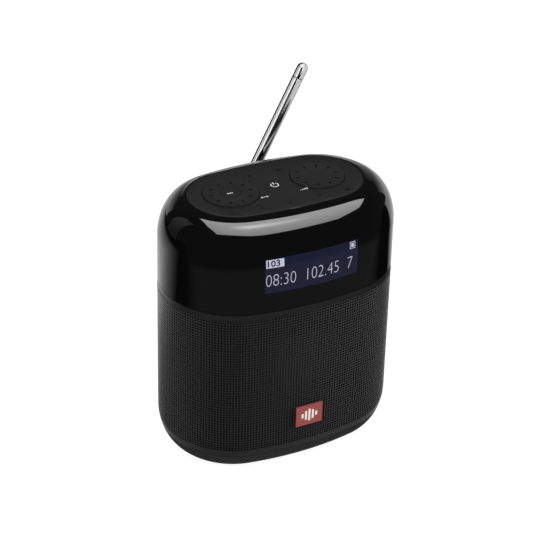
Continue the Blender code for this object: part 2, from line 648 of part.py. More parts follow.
def main():
    clear_scene()
    surfaces = make_surfaces()
    make_foot_pad(surfaces)
    make_base(surfaces)
    make_cabinet(surfaces)
    make_grille(surfaces)
    make_waist_band(surfaces)
    make_top_cap(surfaces)
    make_badge(surfaces)
    make_display(surfaces)
    make_deck(surfaces)
    make_buttons(surfaces)
    make_dials(surfaces)
    make_electronics(surfaces)
    make_driver(surfaces)
    make_radiator(surfaces)
    make_ports(surfaces)
    pivot = make_pivot()
    make_antenna_base(surfaces, pivot)
    make_antenna_rod(surfaces, pivot)


main()
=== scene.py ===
"""The looks of the tabletop radio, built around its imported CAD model. Units are metres."""
import json
import math

import bmesh
import bpy
import numpy as np
from mathutils import Matrix, Vector


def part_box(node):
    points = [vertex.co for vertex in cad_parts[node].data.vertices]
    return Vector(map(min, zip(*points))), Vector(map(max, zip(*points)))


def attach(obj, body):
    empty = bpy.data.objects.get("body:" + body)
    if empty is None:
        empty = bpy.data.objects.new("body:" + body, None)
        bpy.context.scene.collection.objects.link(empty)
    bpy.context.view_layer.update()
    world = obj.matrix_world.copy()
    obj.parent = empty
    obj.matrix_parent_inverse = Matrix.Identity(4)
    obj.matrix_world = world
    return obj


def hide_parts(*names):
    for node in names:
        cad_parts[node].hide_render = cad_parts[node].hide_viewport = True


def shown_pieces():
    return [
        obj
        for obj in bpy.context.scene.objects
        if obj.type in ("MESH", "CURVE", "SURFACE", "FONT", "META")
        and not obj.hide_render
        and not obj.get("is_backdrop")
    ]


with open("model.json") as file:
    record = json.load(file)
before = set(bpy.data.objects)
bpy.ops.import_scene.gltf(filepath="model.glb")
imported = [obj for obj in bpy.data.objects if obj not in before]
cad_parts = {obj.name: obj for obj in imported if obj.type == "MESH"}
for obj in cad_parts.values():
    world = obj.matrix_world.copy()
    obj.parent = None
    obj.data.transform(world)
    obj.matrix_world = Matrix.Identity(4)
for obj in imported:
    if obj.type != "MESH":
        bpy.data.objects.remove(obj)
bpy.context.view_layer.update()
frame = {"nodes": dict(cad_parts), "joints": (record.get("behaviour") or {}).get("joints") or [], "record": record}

MM = 0.001
QUARTER = math.pi / 2

# The body's outline and side view, as in the CAD model.
WIDTH = 158.0 * MM
DEPTH = 103.3 * MM
END_RADIUS = 48.9 * MM
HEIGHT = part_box("top_cap")[1].z
FLARE = 2.0 * MM
TOP_ROUND = (16.4 * MM, 27.7 * MM)
BASE_ROUND = (14.5 * MM, 25.0 * MM)
DECK = dict(length=117.6 * MM, depth=62.6 * MM, end_radius=30.0 * MM, y=2.9 * MM)

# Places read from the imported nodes.
CAP_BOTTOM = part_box("top_cap")[0].z
BAND_Z = (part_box("waist_band")[0].z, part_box("waist_band")[1].z)
GRILLE_Z = (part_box("grille")[0].z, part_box("grille")[1].z)
BASE_Z = (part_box("base_cover")[0].z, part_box("base_cover")[1].z)
PAD_Z = (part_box("foot_pad")[0].z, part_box("foot_pad")[1].z)
DECK_Z = (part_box("control_deck")[0].z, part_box("control_deck")[1].z)
DECK_FLOOR = HEIGHT - 1.2 * MM
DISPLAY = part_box("display_window")
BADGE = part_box("badge")
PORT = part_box("port_panel")
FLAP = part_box("port_flap")

SHELL_END_STEPS = 60
SHELL_SIDE_STEPS = 24
GRILLE_WALL = 0.6 * MM
HOLE_PITCH = 1.9 * MM
HOLE_RADIUS = 0.79 * MM
HOLE_SIDES = 8
HOLES_FROM = 19.1 * MM

# The antenna's own axes: Z along the rod, X along the tilt pin, Y out of the back.
PIVOT = Vector(next(j["pos_m"] for j in frame["joints"] if j["name"] == "antenna_tilt"))
ROD_AXIS = Vector(next(j["axis"] for j in frame["joints"] if j["name"] == "antenna_stage_2_slide"))
LEAN = math.atan2(ROD_AXIS.x, ROD_AXIS.z)
ROD_FRAME = Matrix.Translation(PIVOT) @ Matrix.Rotation(LEAN, 4, "Y")


# ---------------------------------------------------------------- outlines

def arc(centre, radius, start, end, steps):
    """Points on an arc, without its end point."""
    angles = [start + (end - start) * i / steps for i in range(steps)]
    return [(centre[0] + radius * math.cos(a), centre[1] + radius * math.sin(a)) for a in angles]


def pill_shape(length, depth, end_radius):
    """Reach of the end arcs' centres, drop of the side arcs' centres and a side arc's half angle."""
    reach = length / 2 - end_radius
    bow = depth / 2 - end_radius
    drop = (reach ** 2 - bow ** 2) / (2 * bow)
    return reach, drop, math.atan2(reach, drop)


def pill(length, depth, end_radius, offset=0.0, y=0.0):
    """Pill outline whose side arcs are tangent to its end arcs; offset grows or shrinks it."""
    reach, drop, half = pill_shape(length, depth, end_radius)
    side, end = drop + depth / 2 + offset, end_radius + offset
    points = arc((reach, y), end, half - QUARTER, QUARTER - half, SHELL_END_STEPS)
    points += arc((0, y - drop), side, QUARTER - half, QUARTER + half, SHELL_SIDE_STEPS)
    points += arc((-reach, y), end, QUARTER + half, 3 * QUARTER - half, SHELL_END_STEPS)
    points += arc((0, y + drop), side, 3 * QUARTER - half, 3 * QUARTER + half, SHELL_SIDE_STEPS)
    return points


def body_outline(offset):
    return pill(WIDTH, DEPTH, END_RADIUS, offset)


def deck_outline(offset):
    return pill(DECK["length"], DECK["depth"], DECK["end_radius"], offset, DECK["y"])


def wall_offset(z, wall=0.0):
    """How far the body's wall stands outside the nominal outline at height z, for a skin at depth wall."""
    offset = FLARE * (1 - z / HEIGHT) - wall
    for (inset, rise), past in ((TOP_ROUND, z - HEIGHT + TOP_ROUND[1]), (BASE_ROUND, BASE_ROUND[1] - z)):
        if past > 0:
            share = min(past / (rise - wall), 1.0)
            offset -= (inset - wall) * (1 - math.sqrt(1 - share * share))
    return offset


def ring_at(outline, z):
    return [Vector((x, y, z)) for x, y in outline]


def body_ring(z, wall=0.0, extra=0.0):
    return ring_at(body_outline(wall_offset(z, wall) + extra), z)


def on_wall(x, z, out=0.0, side=-1):
    """Point on the front (side -1) or rear (side 1) wall at x and z, standing out by out."""
    _, drop, _ = pill_shape(WIDTH, DEPTH, END_RADIUS)
    radius = drop + DEPTH / 2 + wall_offset(z) + out
    return Vector((x, side * (math.sqrt(radius * radius - x * x) - drop), z))


# ---------------------------------------------------------------- mesh helpers

def loft(rings, loop=False):
    """Skin equal rings in order; a loop joins the last ring to the first, otherwise both ends are capped."""
    bm = bmesh.new()
    rows = [[bm.verts.new(point) for point in ring] for ring in rings]
    count = len(rows[0])
    pairs = list(zip(rows, rows[1:]))
    if loop:
        pairs.append((rows[-1], rows[0]))
    else:
        bm.faces.new(rows[0])
        bm.faces.new(rows[-1])
    for low, high in pairs:
        for i in range(count):
            j = (i + 1) % count
            bm.faces.new((low[i], low[j], high[j], high[i]))
    return bm


def turned(profile, steps=64):
    """Turn (radius, height) points about Z. A profile that starts on the axis ends on it too."""
    bm = bmesh.new()
    rows = []
    for radius, z in profile:
        angles = [2 * math.pi * i / steps for i in range(steps)] if radius else [0.0]
        rows.append([bm.verts.new((radius * math.cos(a), radius * math.sin(a), z)) for a in angles])
    pairs = list(zip(rows, rows[1:]))
    if profile[0][0]:
        pairs.append((rows[-1], rows[0]))
    for low, high in pairs:
        for i in range(steps):
            j = i + 1
            corners = [low[i % len(low)], low[j % len(low)], high[j % len(high)], high[i % len(high)]]
            bm.faces.new(list(dict.fromkeys(corners)))
    return bm


def rounded(corner, radius, start, end, steps=5):
    """Points on an arc, end point included."""
    return arc(corner, radius, start, end, steps) + arc(corner, radius, end, end + 1, 1)


def prism(outlines, low, high):
    """Extrude flat closed outlines from height low to height high."""
    bm = bmesh.new()
    for outline in outlines:
        bottom = [bm.verts.new((x, y, low)) for x, y in outline]
        top = [bm.verts.new((x, y, high)) for x, y in outline]
        bm.faces.new(bottom)
        bm.faces.new(top)
        for i in range(len(outline)):
            j = (i + 1) % len(outline)
            bm.faces.new((bottom[i], bottom[j], top[j], top[i]))
    return bm


def rounded_box(low, high, radius, segments=4):
    bm = bmesh.new()
    size = Vector(high) - Vector(low)
    middle = (Vector(high) + Vector(low)) / 2
    bmesh.ops.create_cube(bm, size=1.0, matrix=Matrix.Translation(middle) @ Matrix.Diagonal((*size, 1.0)))
    bmesh.ops.bevel(bm, geom=list(bm.edges), offset=radius, segments=segments, profile=0.5, affect="EDGES")
    return bm


def joined(*parts):
    """One bmesh that holds the faces of several; the parts stay separate bodies."""
    whole = bmesh.new()
    for bm in parts:
        mesh = bpy.data.meshes.new("part")
        bm.to_mesh(mesh)
        bm.free()
        whole.from_mesh(mesh)
        bpy.data.meshes.remove(mesh)
    return whole


def bare_object(name, bm):
    bmesh.ops.recalc_face_normals(bm, faces=bm.faces)
    mesh = bpy.data.meshes.new(name)
    bm.to_mesh(mesh)
    bm.free()
    made = bpy.data.objects.new(name, mesh)
    bpy.context.scene.collection.objects.link(made)
    return made


def boolean(bm, tool, operation="DIFFERENCE"):
    """The bmesh after an exact Boolean with another."""
    target, knife = bare_object("target", bm), bare_object("knife", tool)
    change = target.modifiers.new("cut", "BOOLEAN")
    change.operation = operation
    change.object = knife
    graph = bpy.context.evaluated_depsgraph_get()
    mesh = bpy.data.meshes.new_from_object(target.evaluated_get(graph))
    result = bmesh.new()
    result.from_mesh(mesh)
    for thing in (target, knife):
        bpy.data.objects.remove(thing, do_unlink=True)
    bpy.data.meshes.remove(mesh)
    return result


def piece(name, bm, material, body, slot, *nodes, sharp=35):
    """Add a finished piece: shaded smooth, riding on its body, standing for its CAD nodes."""
    made = bare_object(name, bm)
    made.data.shade_smooth()
    made.data.set_sharp_from_angle(angle=math.radians(sharp))
    made.data.materials.append(material)
    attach(made, body)
    if nodes:
        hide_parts(*nodes)
    return made


# ---------------------------------------------------------------- materials

def shader_graph(name):
    made = bpy.data.materials.new(name)
    made.use_nodes = True
    return made, made.node_tree.nodes, made.node_tree.links, made.node_tree.nodes["Principled BSDF"]


def noise(nodes, links, source, scale):
    made = nodes.new("ShaderNodeTexNoise")
    made.inputs["Scale"].default_value = scale
    made.inputs["Detail"].default_value = 3.0
    links.new(source, made.inputs["Vector"])
    return made.outputs["Fac"]


def ranged(nodes, links, source, low, high, start=0.3, end=0.7):
    made = nodes.new("ShaderNodeMapRange")
    made.inputs["From Min"].default_value = start
    made.inputs["From Max"].default_value = end
    made.inputs["To Min"].default_value = low
    made.inputs["To Max"].default_value = high
    links.new(source, made.inputs["Value"])
    return made.outputs["Result"]


def surface(name, colour, roughness, grain=900.0, bump=0.0, bump_size=0.02 * MM, spread=0.12, haze=0.03,
            stretch=(1, 1, 1), turn=(0, 0, 0), **sockets):
    """A moulded, painted or plated surface: slightly uneven colour and gloss, and a fine surface grain."""
    made, nodes, links, shader = shader_graph(name)
    place = nodes.new("ShaderNodeTexCoord").outputs["Object"]
    mapping = nodes.new("ShaderNodeMapping")
    mapping.inputs["Rotation"].default_value = turn
    mapping.inputs["Scale"].default_value = stretch
    links.new(place, mapping.inputs["Vector"])
    fine = noise(nodes, links, mapping.outputs["Vector"], grain)
    broad = noise(nodes, links, place, 45.0)

    tint = nodes.new("ShaderNodeMix")
    tint.data_type = "RGBA"
    tint.inputs["A"].default_value = (*[c * (1 - spread) for c in colour], 1)
    tint.inputs["B"].default_value = (*[min(1, c * (1 + spread)) for c in colour], 1)
    links.new(ranged(nodes, links, fine, 0, 1), tint.inputs["Factor"])
    links.new(tint.outputs["Result"], shader.inputs["Base Color"])
    low, high = max(0.0, roughness - haze), min(1.0, roughness + haze)
    links.new(ranged(nodes, links, broad, low, high), shader.inputs["Roughness"])
    if bump:
        bumped = nodes.new("ShaderNodeBump")
        bumped.inputs["Strength"].default_value = bump
        bumped.inputs["Distance"].default_value = bump_size
        links.new(fine, bumped.inputs["Height"])
        links.new(bumped.outputs["Normal"], shader.inputs["Normal"])
    for socket, value in sockets.items():
        shader.inputs[socket.replace("_", " ")].default_value = value
    return made


def make_materials():
    chrome_grain = dict(stretch=(6, 6, 0.25), turn=(0, -LEAN, 0))
    return {
        "gloss": surface("gloss_black", (0.0022, 0.0022, 0.0026), 0.04, 260, 0.02, spread=0.1, haze=0.015,
                         Specular_IOR_Level=0.5),
        "grille": surface("grille_paint", (0.018, 0.018, 0.018), 0.40, 2600, 0.25, Sheen_Weight=0.6,
                          Sheen_Roughness=0.22),
        "base": surface("base_grey", (0.0245, 0.0245, 0.025), 0.4, 3200, 0.3, Sheen_Weight=0.15,
                        Sheen_Roughness=0.22),
        "plastic": surface("matte_black", (0.022, 0.022, 0.0225), 0.5, 3200, 0.3),
        "band": surface("band_grey", (0.0115, 0.0115, 0.012), 0.45, 3200, 0.3),
        "deck": surface("deck_rubber", (0.0195, 0.0195, 0.020), 0.62, 4200, 0.35, spread=0.18,
                        Specular_IOR_Level=0.12),
        "dimple": surface("dimple_shade", (0.009, 0.009, 0.009), 0.6, 4200, 0.2, Specular_IOR_Level=0.1),
        "rubber": surface("black_rubber", (0.012, 0.012, 0.012), 0.7, 2400, 0.4, spread=0.2),
        "window": surface("display_navy", (0.010, 0.012, 0.030), 0.05, 260, 0.02, spread=0.05, haze=0.015),
        "display": surface("panel_blue", (0.02, 0.025, 0.08), 0.3),
        "badge": surface("badge_red", (0.31, 0.062, 0.058), 0.42, 3000, 0.15, spread=0.06),
        "chrome": surface("chrome", (0.88, 0.88, 0.89), 0.06, 1500, 0.03, 0.01 * MM, 0.03, 0.02,
                          Metallic=1.0, Specular_Tint=(0.0, 0.0, 0.0, 1), **chrome_grain),
        # Near-black painted shade for the acoustic cabinet and the grille's hole walls, so the holes look dark.
        "painted_cavity_shade": surface("cabinet_painted_shade", (0.006, 0.006, 0.006), 0.8, 1500, 0.2),
        "steel": surface("plain_steel", (0.5, 0.5, 0.5), 0.35, 1200, 0.1, Metallic=1.0),
        "aluminium": surface("satin_aluminium", (0.6, 0.6, 0.62), 0.35, 1800, 0.15, Metallic=1.0),
        "magnet": surface("ferrite", (0.05, 0.05, 0.055), 0.6, 1500, 0.3),
        "paper": surface("cone_paper", (0.03, 0.03, 0.03), 0.85, 1300, 0.6, spread=0.3),
        "circuit": surface("solder_mask", (0.01, 0.09, 0.04), 0.4, 700, 0.1, spread=0.25),
        "battery": surface("battery_wrap", (0.03, 0.12, 0.35), 0.35, 600, 0.1),
    }


def glowing(name, colour, strength, base):
    made = surface(name, base, 0.2, 900, spread=0.04)
    shader = made.node_tree.nodes["Principled BSDF"]
    shader.inputs["Emission Color"].default_value = (*colour, 1)
    shader.inputs["Emission Strength"].default_value = strength
    return made


MATERIALS = make_materials()
# White print that glows faintly: painted light, as the print is no lamp.
PAINTED_GLOW_WHITE = glowing("mark_white_painted_glow", (0.8, 0.8, 0.8), 0.25, (0.62, 0.62, 0.62))
MARK_DARK = surface("mark_dark", (0.0075, 0.0075, 0.0075), 0.6, 2000, spread=0.1, Specular_IOR_Level=0.08)
MARK_CREAM = surface("mark_cream", (0.80, 0.74, 0.66), 0.45, 2500, 0.1, spread=0.05)
SCREEN_TEXT = glowing("screen_text", (0.50, 0.50, 0.60), 0.55, (0.25, 0.25, 0.32))


def finish_inner_nodes():
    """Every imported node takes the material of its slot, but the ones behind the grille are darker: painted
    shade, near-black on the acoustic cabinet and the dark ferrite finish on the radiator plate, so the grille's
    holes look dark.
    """
    looks = {row["node"]: row["material_slot"] for row in frame["record"]["subparts"]}
    looks.update(acoustic_cabinet="painted_cavity_shade", radiator_plate="magnet")
    for node, thing in frame["nodes"].items():
        thing.data.materials.clear()
        thing.data.materials.append(MATERIALS[looks[node]])


# ---------------------------------------------------------------- shells

def make_cap():
    """Gloss cap: straight wall, large rounding, a flat crest and a rolled edge round the deck."""
    edge, roll, wall, crown = 0.35 * MM, 0.2 * MM, 2.4 * MM, 0.45 * MM
    start = HEIGHT - TOP_ROUND[1]
    squash = 1 - crown / TOP_ROUND[1]
    outer = [body_ring(CAP_BOTTOM, extra=-edge), body_ring(CAP_BOTTOM + edge)]
    outer += [body_ring(CAP_BOTTOM + (start - CAP_BOTTOM) * i / 4) for i in range(1, 4)]
    for i in range(26):
        ring = body_ring(start + TOP_ROUND[1] * math.sin(QUARTER * i / 26))
        outer.append([Vector((p.x, p.y, start + (p.z - start) * squash)) for p in ring])
    shoulder, crest = outer[-1], ring_at(deck_outline(0.2 * MM + roll), HEIGHT)
    for share in (0.2, 0.4, 0.6, 0.8):
        rise = crest[0].z - (crest[0].z - shoulder[0].z) * (1 - share) ** 2
        outer.append([Vector((*a.xy.lerp(b.xy, share), rise)) for a, b in zip(shoulder, crest)])
    lip = [ring_at(deck_outline(0.2 * MM + roll * (1 - math.sin(a))), HEIGHT - roll * (1 - math.cos(a)))
           for a in (QUARTER * i / 4 for i in range(5))]
    lip.append(ring_at(deck_outline(0.2 * MM), HEIGHT - wall))
    rise = TOP_ROUND[1] - wall
    inner = [body_ring(start + rise * math.sin(QUARTER * i / 8), wall) for i in range(8, -1, -1)]
    inner.append(body_ring(CAP_BOTTOM, wall))
    shell = loft(outer + lip + inner, loop=True)
    piece("cap_shell", shell, MATERIALS["gloss"], "radio_body", "gloss", "top_cap")


def make_band():
    edge, depth = 0.2 * MM, 2.2 * MM
    low, high = BAND_Z
    outer = [body_ring(low, extra=-2 * edge), body_ring(low + edge, extra=-edge),
             body_ring(high - edge, extra=-edge), body_ring(high, extra=-2 * edge)]
    inner = [body_ring(high, extra=-depth), body_ring(low, extra=-depth)]
    piece("band", loft(outer + inner, loop=True), MATERIALS["band"], "radio_body", "plastic", "waist_band")


def make_base():
    """Plinth that curves under to the foot pad."""
    edge, wall = 0.35 * MM, 2.2 * MM
    low, high = BASE_Z
    levels = [low + (high - edge - low) * (1 - math.cos(QUARTER * i / 12)) for i in range(13)]
    outer = [body_ring(z) for z in levels] + [body_ring(high, extra=-edge)]
    inner = [body_ring(z, wall) for z in (high, 9 * MM, 5.5 * MM)]
    floor = ring_at(body_outline(wall_offset(low) - wall), low + wall)
    piece("plinth", loft(outer + inner + [floor]), MATERIALS["base"], "radio_body", "base", "base_cover")
    pad_edge = 0.3 * MM
    offset = wall_offset(0.0)
    rings = [ring_at(body_outline(offset - pad_edge), PAD_Z[0]),
             ring_at(body_outline(offset), PAD_Z[0] + pad_edge), ring_at(body_outline(offset), PAD_Z[1])]
    piece("pad", loft(rings), MATERIALS["rubber"], "radio_body", "rubber", "foot_pad")


# ---------------------------------------------------------------- perforated grille

def outline_frames(steps):
    """Centre, radius and outward direction at lengths along the nominal outline, anticlockwise."""
    reach, drop, half = pill_shape(WIDTH, DEPTH, END_RADIUS)
    side = drop + DEPTH / 2
    end_turn, side_turn = math.pi - 2 * half, 2 * half
    runs = [((reach, 0), END_RADIUS, half - QUARTER, end_turn),
            ((0, -drop), side, QUARTER - half, side_turn),
            ((-reach, 0), END_RADIUS, QUARTER + half, end_turn),
            ((0, drop), side, 3 * QUARTER - half, side_turn)]
    lengths = np.array([radius * sweep for _, radius, _, sweep in runs])
    ends = np.cumsum(lengths)
    places = np.mod(np.asarray(steps), ends[-1])
    run = np.searchsorted(ends, places, side="right")
    along = places - (ends - lengths)[run]
    centre = np.array([c for c, _, _, _ in runs])[run]
    radius = np.array([r for _, r, _, _ in runs])[run]
    angle = np.array([s for _, _, s, _ in runs])[run] + along / radius
    return centre, radius, np.stack([np.cos(angle), np.sin(angle)], axis=-1)


def perimeter():
    _, drop, half = pill_shape(WIDTH, DEPTH, END_RADIUS)
    return 2 * (END_RADIUS * (math.pi - 2 * half) + (drop + DEPTH / 2) * 2 * half)


def wall_points(along, heights, depth):
    """Points of the wall at lengths along the outline and heights, sunk by depth."""
    centre, radius, out = outline_frames(along)
    offset = np.array([wall_offset(z) for z in np.unique(heights)])
    offset = offset[np.searchsorted(np.unique(heights), heights)] - depth
    flat = centre + (radius + offset)[..., None] * out
    return np.concatenate([flat, np.asarray(heights)[..., None]], axis=-1)


def grille_piece(name, first, last, columns, levels, holed, skipped):
    """Columns first to last of the grille: a thick sheet of square cells, each with a round hole."""
    pitch = perimeter() / columns
    across = np.arange(first, last + 1) * pitch
    grid_s, grid_z = np.meshgrid(across, levels)
    corners = [wall_points(grid_s, grid_z, depth).reshape(-1, 3) for depth in (0.0, GRILLE_WALL)]
    wide, tall = len(across), len(levels)
    inside = wide * tall
    holes = []
    count = 2 * inside
    faces = []
    hole_walls = []
    angles = math.pi / HOLE_SIDES + np.arange(HOLE_SIDES) * 2 * math.pi / HOLE_SIDES
    for row in range(tall - 1):
        for column in range(wide - 1):
            a = row * wide + column
            b, c, d = a + 1, a + wide + 1, a + wide
            if skipped(first + column, row):
                continue
            if not holed[row]:
                faces += [(a, b, c, d), (a + inside, d + inside, c + inside, b + inside)]
                continue
            middle_s = across[column] + pitch / 2
            middle_z = (levels[row] + levels[row + 1]) / 2
            rim_s = middle_s + HOLE_RADIUS * np.cos(angles)
            rim_z = middle_z + HOLE_RADIUS * np.sin(angles)
            holes += [(rim_s, rim_z, depth) for depth in (0.0, GRILLE_WALL)]
            h = count
            g = h + HOLE_SIDES
            count += 2 * HOLE_SIDES
            for base, lift, flip in ((h, 0, False), (g, inside, True)):
                w, x, y, z = a + lift, b + lift, c + lift, d + lift
                cell = [(x, y, base, base + 7), (y, z, base + 2, base + 1), (z, w, base + 4, base + 3),
                        (w, x, base + 6, base + 5), (y, base + 1, base), (z, base + 3, base + 2),
                        (w, base + 5, base + 4), (x, base + 7, base + 6)]
                faces += [tuple(reversed(face)) for face in cell] if flip else cell
            for k in range(HOLE_SIDES):
                j = (k + 1) % HOLE_SIDES
                hole_walls.append(len(faces))
                faces.append((h + k, h + j, g + j, g + k))
    for column in range(wide - 1):
        top = (tall - 1) * wide + column
        faces.append((column, column + inside, column + 1 + inside, column + 1))
        faces.append((top, top + 1, top + 1 + inside, top + inside))
    s = np.concatenate([p[0] for p in holes])
    z = np.concatenate([p[1] for p in holes])
    deep = np.repeat([p[2] for p in holes], HOLE_SIDES)
    rims = wall_points(s, z, deep)
    mesh = bpy.data.meshes.new(name)
    mesh.from_pydata(np.concatenate([*corners, rims]).tolist(), [], faces)
    # The hole walls take the near-black cavity material: painted shade inside the holes.
    for face in hole_walls:
        mesh.polygons[face].material_index = 1
    mesh.validate()
    mesh.shade_smooth()
    mesh.set_sharp_from_angle(angle=math.radians(35))
    mesh.materials.append(MATERIALS["grille"])
    mesh.materials.append(MATERIALS["painted_cavity_shade"])
    made = bpy.data.objects.new(name, mesh)
    bpy.context.scene.collection.objects.link(made)
    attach(made, "radio_body")
    return made


def make_grille():
    columns = round(perimeter() / HOLE_PITCH)
    rows = round((GRILLE_Z[1] - 0.2 * MM - HOLES_FROM) / HOLE_PITCH)
    margin = [GRILLE_Z[0] + (HOLES_FROM - GRILLE_Z[0]) * i / 3 for i in range(3)]
    levels = margin + [HOLES_FROM + (GRILLE_Z[1] - HOLES_FROM) * i / rows for i in range(rows + 1)]
    holed = [False] * len(margin) + [True] * rows
    pitch = perimeter() / columns
    centres, radii, out = outline_frames((np.arange(columns) + 0.5) * pitch)
    middles = centres + radii[:, None] * out

    def skipped(column, row):
        x, y = middles[column % columns]
        z = (levels[row] + levels[row + 1]) / 2
        return y > 0 and PORT[0].x < x < PORT[1].x and PORT[0].z < z < PORT[1].z

    parts = 4
    cuts = [round(columns * i / parts) for i in range(parts + 1)]
    for number, (first, last) in enumerate(zip(cuts, cuts[1:]), 1):
        made = grille_piece(f"grille_sector_{number}", first, last, columns, levels, holed, skipped)
        if number == 1:
            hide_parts("grille")


# ---------------------------------------------------------------- display and badge

def wall_patch(half, heights, out, deep, columns, rows, side=-1, edge=0.0):
    """A closed patch that follows the wall, from deep below its surface to out above it."""
    bm = bmesh.new()
    sheets = []
    for lift, shrink in ((out, edge), (out - edge, 0.0), (-deep, 0.0)):
        xs = [-half + shrink + 2 * (half - shrink) * i / columns for i in range(columns + 1)]
        low, high = heights[0] + shrink, heights[1] - shrink
        zs = [low + (high - low) * i / rows for i in range(rows + 1)]
        sheets.append([[bm.verts.new(on_wall(x, z, lift, side)) for x in xs] for z in zs])
    if not edge:
        for row in sheets.pop(1):
            for vert in row:
                bm.verts.remove(vert)
    for sheet in (sheets[0], sheets[-1]):
        for j in range(rows):
            for i in range(columns):
                bm.faces.new((sheet[j][i], sheet[j][i + 1], sheet[j + 1][i + 1], sheet[j + 1][i]))
    if edge:
        middle = sheets[1]
        for j in range(1, rows):
            for i in range(1, columns):
                bm.verts.remove(middle[j][i])
    rims = [sheet[0] + [row[-1] for row in sheet[1:-1]] + sheet[-1][::-1] + [row[0] for row in sheet[-2:0:-1]]
            for sheet in sheets]
    for upper, lower in zip(rims, rims[1:]):
        for i in range(len(upper)):
            j = (i + 1) % len(upper)
            bm.faces.new((upper[i], upper[j], lower[j], lower[i]))
    return bm


def rectangle(x, z, width, height):
    return [(x, z), (x + width, z), (x + width, z + height), (x, z + height)]


def ring_outline(x, z, width, height, line):
    """A rectangular frame as four bars that meet without overlapping."""
    return [rectangle(x, z, width, line), rectangle(x, z + height - line, width, line),
            rectangle(x, z + line, line, height - 2 * line),
            rectangle(x + width - line, z + line, line, height - 2 * line)]


def text_prism(words, size, squeeze, weight, low, high):
    """Flat lettering as a bmesh, its lower left corner at the origin, extruded from low to high."""
    curve = bpy.data.curves.new("words", "FONT")
    curve.body = words
    curve.size = size
    curve.offset = weight
    curve.resolution_u = 4
    curve.extrude = (high - low) / 2
    thing = bpy.data.objects.new("words", curve)
    bpy.context.scene.collection.objects.link(thing)
    graph = bpy.context.evaluated_depsgraph_get()
    mesh = bpy.data.meshes.new_from_object(thing.evaluated_get(graph))
    bm = bmesh.new()
    bm.from_mesh(mesh)
    bpy.data.objects.remove(thing, do_unlink=True)
    bpy.data.meshes.remove(mesh)
    bmesh.ops.remove_doubles(bm, verts=bm.verts, dist=1e-7)
    left = min(v.co.x for v in bm.verts)
    bottom = min(v.co.y for v in bm.verts)
    for vert in bm.verts:
        vert.co.x = (vert.co.x - left) * squeeze
        vert.co.y -= bottom
        vert.co.z += (high + low) / 2
    return bm


def moved(bm, x, y, z=0.0):
    bm.transform(Matrix.Translation((x, y, z)))
    return bm


def wrapped(bm, side=-1):
    """Lay a flat bmesh, drawn in x and y with its height in z, onto the wall: y becomes the height."""
    step = 1.0 * MM
    for axis in (0, 1):
        low, high = min(v.co[axis] for v in bm.verts), max(v.co[axis] for v in bm.verts)
        normal = Vector((axis == 0, axis == 1, 0))
        level = low + step
        while level < high:
            bmesh.ops.bisect_plane(bm, geom=bm.verts[:] + bm.edges[:] + bm.faces[:], plane_co=normal * level,
                                   plane_no=normal, dist=1e-8)
            level += step
    for vert in bm.verts:
        vert.co = on_wall(vert.co.x, vert.co.y, vert.co.z, side)
    return bm


def make_display():
    low, high = DISPLAY[0].z, DISPLAY[1].z
    half = DISPLAY[1].x
    patch = wall_patch(half, (low, high), 0.03 * MM, 0.6 * MM, 48, 20)
    piece("display_face", patch, MATERIALS["window"], "radio_body", "window", "display_window")
    lift = (0.0, 0.07 * MM)
    left = -half + 0.6 * MM
    line = moved(text_prism("08:30  102.45  7", 12.6 * MM, 0.735, -0.30 * MM, *lift), left, low + 4.7 * MM)
    tag_x, tag_z = left, high - 6.0 * MM
    tag = prism([rectangle(tag_x, tag_z, 11.6 * MM, 5.4 * MM)], *lift)
    icon = prism(ring_outline(half - 6.2 * MM, high - 5.3 * MM, 4.0 * MM, 4.6 * MM, 0.4 * MM)
                 + [rectangle(half - 5.2 * MM, high - 4.3 * MM, 2.0 * MM, 2.6 * MM)], *lift)
    piece("display_digits", wrapped(joined(line, tag, icon)), SCREEN_TEXT, "radio_body", "display", sharp=30)
    number = text_prism("103", 5.7 * MM, 1.12, 0.12 * MM, 0.02 * MM, 0.12 * MM)
    moved(number, tag_x + 0.9 * MM, tag_z + 0.7 * MM)
    piece("display_tag_digits", wrapped(number), MATERIALS["window"], "radio_body", "window", sharp=30)


def make_badge():
    """Red plate with a plain mark of five level bars."""
    front, top, bottom = BADGE[0].y, BADGE[1].z, BADGE[0].z
    half = BADGE[1].x
    plate = rounded_box((-half, front, bottom), (half, front + 1.2 * MM, top), 0.25 * MM, 3)
    piece("badge_plate", plate, MATERIALS["badge"], "radio_body", "badge", "badge")
    middle = (top + bottom) / 2
    heights = [3.4, 7.0, 9.4, 7.0, 3.4]
    bars = []
    for number, height in enumerate(heights):
        x = (number - 2) * 2.5 * MM
        bars.append(rounded_box((x - 0.75 * MM, front - 0.12 * MM, middle - height / 2 * MM),
                                (x + 0.75 * MM, front + 0.3 * MM, middle + height / 2 * MM), 0.1 * MM, 2))
    piece("badge_mark", joined(*bars), MARK_CREAM, "radio_body", "badge")


# ---------------------------------------------------------------- control deck

def cylinder(radius, low, high, at, steps):
    return moved(turned([(0, low), (radius, low), (radius, high), (0, high)], steps), *at)


def centre_of(node):
    low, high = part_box(node)
    return (low.x + high.x) / 2, (low.y + high.y) / 2


def radius_of(node):
    low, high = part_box(node)
    return (high.x - low.x) / 2


KEYS = [f"front_key_{i}" for i in range(1, 6)] + ["rear_key_1", "rear_key_2"]
HAIRLINE = 0.12 * MM
KEY_SINK = 0.1 * MM
PRINT = 0.05 * MM


